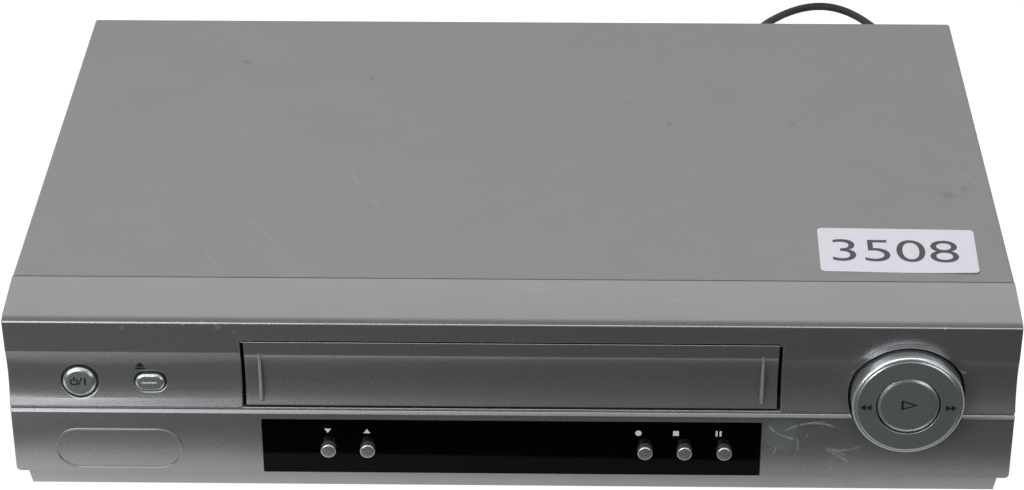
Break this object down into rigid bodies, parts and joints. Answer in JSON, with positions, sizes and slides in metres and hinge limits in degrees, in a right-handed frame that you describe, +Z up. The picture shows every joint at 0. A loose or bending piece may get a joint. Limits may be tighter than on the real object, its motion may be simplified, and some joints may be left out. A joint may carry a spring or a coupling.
{
  "type": "video cassette recorder",
  "caption": "Front-loading VHS video deck with a tape flap, sprung keys, a rocker dial and a working tape-loading mechanism inside a steel-covered case.",
  "frame": {"origin": "on the surface the feet stand on, midway between the sides and midway between the dial's face and the ends of the rear sockets; the mains cord isn't counted", "axes": "+X to the right seen from the front, +Y from front to back, +Z up"},
  "size_m": [0.363, 0.4511, 0.0845],
  "materials": {
    "cover_paint": "satin silver-grey paint on sheet steel",
    "silver_plastic": "silver-grey painted moulding",
    "plinth": "grey moulding",
    "key_silver": "silver-painted keys",
    "window_black": "dark smoked acrylic",
    "foot_rubber": "black rubber",
    "black_plastic": "black moulding",
    "white_plastic": "natural acetal",
    "board_green": "green circuit board",
    "board_brown": "brown paper board",
    "tube_glass": "dark display glass",
    "zinc_steel": "zinc-plated sheet steel",
    "screw_steel": "bright steel",
    "drum_aluminium": "machined aluminium",
    "brass_like": "brass and varnished copper",
    "roller_rubber": "black rubber",
    "cord_black": "black flexible PVC"
  },
  "bodies": {
    "chassis": {"base_frame": "plinth", "feet": "foot_rubber", "top_cover": "cover_paint", "cover_screws": "screw_steel", "rear_panel": "black_plastic", "front_panel": "silver_plastic", "display_window": "window_black", "display_board": "board_green", "key_boards": "board_green", "tact_switches": "black_plastic", "display_tube": "tube_glass", "deck_plate": "zinc_steel", "deck_screws": "screw_steel", "drum_base": "drum_aluminium", "lower_drum": "drum_aluminium", "capstan_stator": "brass_like", "loading_motor": "zinc_steel", "erase_head": "zinc_steel", "audio_head": "zinc_steel", "tape_end_lamp": "black_plastic", "side_brackets": "zinc_steel", "top_bridge": "zinc_steel", "main_board": "board_green", "power_board": "board_brown", "board_parts": "black_plastic", "transformer": "brass_like", "heat_sink": "drum_aluminium", "tuner_can": "zinc_steel", "av_sockets": "black_plastic", "cord_bushing": "cord_black", "mains_lead": "cord_black", "mains_coil": "cord_black", "mains_plug": "cord_black"},
    "flap": {"cassette_flap": "silver_plastic"},
    "standby": {"standby_key": "key_silver"},
    "eject": {"eject_key": "key_silver"},
    "channel_down": {"channel_down_key": "key_silver"},
    "channel_up": {"channel_up_key": "key_silver"},
    "record": {"record_key": "key_silver"},
    "stop": {"stop_key": "key_silver"},
    "pause": {"pause_key": "key_silver"},
    "play": {"play_key": "key_silver"},
    "dial": {"rocker_dial": "key_silver"},
    "drum_rotor": {"upper_drum": "drum_aluminium", "drum_shaft": "screw_steel"},
    "capstan": {"capstan_rotor": "zinc_steel", "capstan_shaft": "screw_steel"},
    "pinch_lever": {"pinch_arm": "zinc_steel"},
    "pinch_wheel": {"pinch_roller": "roller_rubber"},
    "supply_table": {"supply_reel": "black_plastic"},
    "takeup_table": {"takeup_reel": "black_plastic"},
    "idler_lever": {"idler_arm": "zinc_steel"},
    "idler": {"idler_wheel": "roller_rubber"},
    "supply_carrier": {"supply_guide": "brass_like"},
    "takeup_carrier": {"takeup_guide": "brass_like"},
    "cam": {"cam_gear": "white_plastic"},
    "pinion": {"motor_pinion": "white_plastic"},
    "carriage_slider": {"carriage": "black_plastic"},
    "cassette_basket": {"basket": "zinc_steel"}
  },
  "joints": [
    {"name": "cassette_door", "type": "hinge", "parent": "chassis", "child": "flap", "pos_m": [0, -0.1213, 0.0721], "axis": [1, 0, 0], "range_deg": [0, 85], "stiffness_Nm_per_rad": 0.02, "springref_deg": -20.05},
    {"name": "standby_press", "type": "slide", "parent": "chassis", "child": "standby", "axis": [0, 1, 0], "range_m": [0, 0.0007], "stiffness_N_per_m": 900, "springref_m": -0.0003},
    {"name": "eject_press", "type": "slide", "parent": "chassis", "child": "eject", "axis": [0, 1, 0], "range_m": [0, 0.0007], "stiffness_N_per_m": 900, "springref_m": -0.0003},
    {"name": "channel_down_press", "type": "slide", "parent": "chassis", "child": "channel_down", "axis": [0, 1, 0], "range_m": [0, 0.0007], "stiffness_N_per_m": 900, "springref_m": -0.0003},
    {"name": "channel_up_press", "type": "slide", "parent": "chassis", "child": "channel_up", "axis": [0, 1, 0], "range_m": [0, 0.0007], "stiffness_N_per_m": 900, "springref_m": -0.0003},
    {"name": "record_press", "type": "slide", "parent": "chassis", "child": "record", "axis": [0, 1, 0], "range_m": [0, 0.0007], "stiffness_N_per_m": 900, "springref_m": -0.0003},
    {"name": "stop_press", "type": "slide", "parent": "chassis", "child": "stop", "axis": [0, 1, 0], "range_m": [0, 0.0007], "stiffness_N_per_m": 900, "springref_m": -0.0003},
    {"name": "pause_press", "type": "slide", "parent": "chassis", "child": "pause", "axis": [0, 1, 0], "range_m": [0, 0.0007], "stiffness_N_per_m": 900, "springref_m": -0.0003},
    {"name": "play_press", "type": "slide", "parent": "chassis", "child": "play", "axis": [0, 1, 0], "range_m": [0, 0.0007], "stiffness_N_per_m": 900, "springref_m": -0.0003},
    {"name": "dial_rock", "type": "hinge", "parent": "chassis", "child": "dial", "pos_m": [0.141, -0.1171, 0.0512], "axis": [0, 0, 1], "range_deg": [-2, 2], "stiffness_Nm_per_rad": 1.2},
    {"name": "carriage_slide", "type": "slide", "parent": "chassis", "child": "carriage_slider", "axis": [0, 1, 0], "range_m": [0, 0.06]},
    {"name": "basket_drop", "type": "slide", "parent": "carriage_slider", "child": "cassette_basket", "axis": [0, 0, -1], "range_m": [0, 0.016]},
    {"name": "drum_spin", "type": "hinge", "parent": "chassis", "child": "drum_rotor", "pos_m": [0, 0.0623, 0.026], "axis": [0.0872, 0, 0.9962], "continuous": true},
    {"name": "capstan_spin", "type": "hinge", "parent": "chassis", "child": "capstan", "pos_m": [0.072, 0.0283, 0.022], "axis": [0, 0, 1], "continuous": true},
    {"name": "supply_reel_spin", "type": "hinge", "parent": "chassis", "child": "supply_table", "pos_m": [-0.046, -0.0447, 0.024], "axis": [0, 0, 1], "continuous": true},
    {"name": "takeup_reel_spin", "type": "hinge", "parent": "chassis", "child": "takeup_table", "pos_m": [0.046, -0.0447, 0.024], "axis": [0, 0, 1], "continuous": true},
    {"name": "idler_arm_swing", "type": "hinge", "parent": "chassis", "child": "idler_lever", "pos_m": [0, -0.0127, 0.023], "axis": [0, 0, 1], "range_deg": [-8.4, 8.4]},
    {"name": "idler_wheel_spin", "type": "hinge", "parent": "idler_lever", "child": "idler", "pos_m": [0, -0.0447, 0.024], "axis": [0, 0, 1], "continuous": true},
    {"name": "cam_gear_turn", "type": "hinge", "parent": "chassis", "child": "cam", "pos_m": [0.08, 0.0723, 0.024], "axis": [0, 0, 1], "range_deg": [0, 150]},
    {"name": "motor_pinion_turn", "type": "hinge", "parent": "chassis", "child": "pinion", "pos_m": [0.09612, 0.08842, 0.024], "axis": [0, 0, 1], "range_deg": [-565, 0]},
    {"name": "supply_guide_swing", "type": "hinge", "parent": "chassis", "child": "supply_carrier", "pos_m": [0, 0.0623, 0.022], "axis": [0, 0, 1], "range_deg": [-64, 0]},
    {"name": "takeup_guide_swing", "type": "hinge", "parent": "chassis", "child": "takeup_carrier", "pos_m": [0, 0.0623, 0.022], "axis": [0, 0, 1], "range_deg": [0, 64]},
    {"name": "pinch_arm_swing", "type": "hinge", "parent": "chassis", "child": "pinch_lever", "pos_m": [0.1, 0.0443, 0.036], "axis": [0, 0, 1], "range_deg": [-15, 0]},
    {"name": "pinch_roller_spin", "type": "hinge", "parent": "pinch_lever", "child": "pinch_wheel", "pos_m": [0.08485, 0.02491, 0.04], "axis": [0, 0, 1], "continuous": true}
  ],
  "couplings": [
    {"joint": "motor_pinion_turn", "follows": "cam_gear_turn", "ratio": -3.75},
    {"joint": "supply_guide_swing", "follows": "cam_gear_turn", "ratio": -0.42667},
    {"joint": "takeup_guide_swing", "follows": "cam_gear_turn", "ratio": 0.42667},
    {"joint": "pinch_arm_swing", "follows": "cam_gear_turn", "ratio": -0.1}
  ]
}
